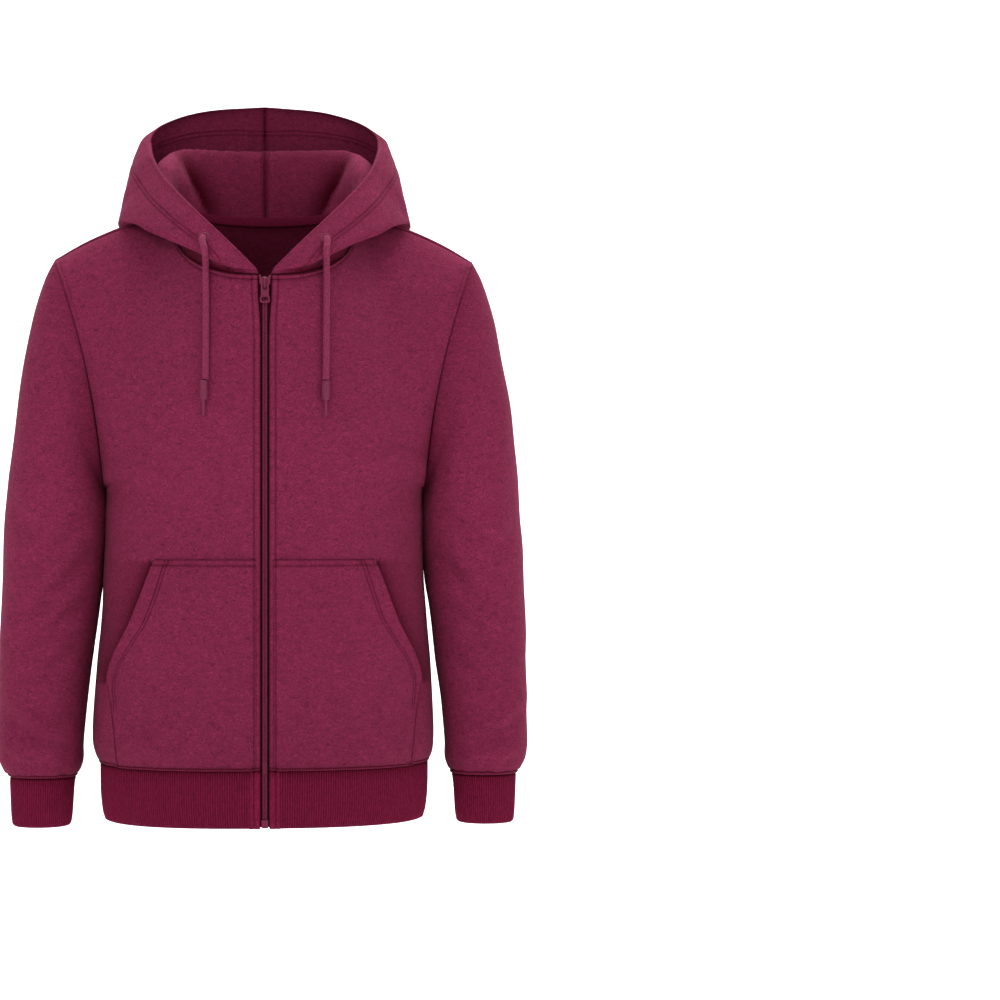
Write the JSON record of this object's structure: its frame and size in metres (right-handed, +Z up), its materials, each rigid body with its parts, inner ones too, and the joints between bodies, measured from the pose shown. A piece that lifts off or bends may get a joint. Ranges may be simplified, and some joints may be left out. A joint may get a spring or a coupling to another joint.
{
  "type": "zip-front hooded sweatshirt",
  "caption": "Zip-front hooded sweatshirt, filled out with nobody in it: lying hood with drawcords, hand pockets, ribbed cuffs and hem band.",
  "frame": {"origin": "midway between the two sides of the neck, at the level where the shoulders hold the garment up", "axes": "+Z up, -Y out of the front, +X to the wearer's left"},
  "size_m": [0.6, 0.2996, 0.8325],
  "materials": {
    "fleece": "brushed-back heather knit, matt with a soft nap",
    "rib": "ribbed knit, matt",
    "tape": "woven and knitted tape, matt",
    "braid": "braided round cord",
    "zip_teeth": "nylon coil teeth",
    "coloured_metal": "enamelled metal in the garment's colour",
    "cord_end": "enamelled metal barrel and pin"
  },
  "bodies": {
    "garment": {"front_left": "fleece", "front_right": "fleece", "back": "fleece", "sleeve_left": "fleece", "sleeve_right": "fleece", "cuff_left": "rib", "cuff_right": "rib", "hem_band": "rib", "hood_left": "fleece", "hood_right": "fleece", "pocket_left": "fleece", "pocket_right": "fleece", "neck_tape": "tape", "zip_tape_left": "tape", "zip_tape_right": "tape", "zip_chain": "zip_teeth", "zip_stop": "coloured_metal", "zip_slider": "coloured_metal", "eyelet_left": "coloured_metal", "eyelet_right": "coloured_metal", "cord_left": "braid", "cord_right": "braid", "aglet_left": "cord_end", "aglet_right": "cord_end"},
    "pull": {"zip_pull": "coloured_metal"}
  },
  "joints": [
    {"name": "pull_swing", "type": "hinge", "parent": "garment", "child": "pull", "pos_m": [0, -0.12005, -0.0715], "axis": [-1, 0, 0], "range_deg": [0, 140]}
  ]
}
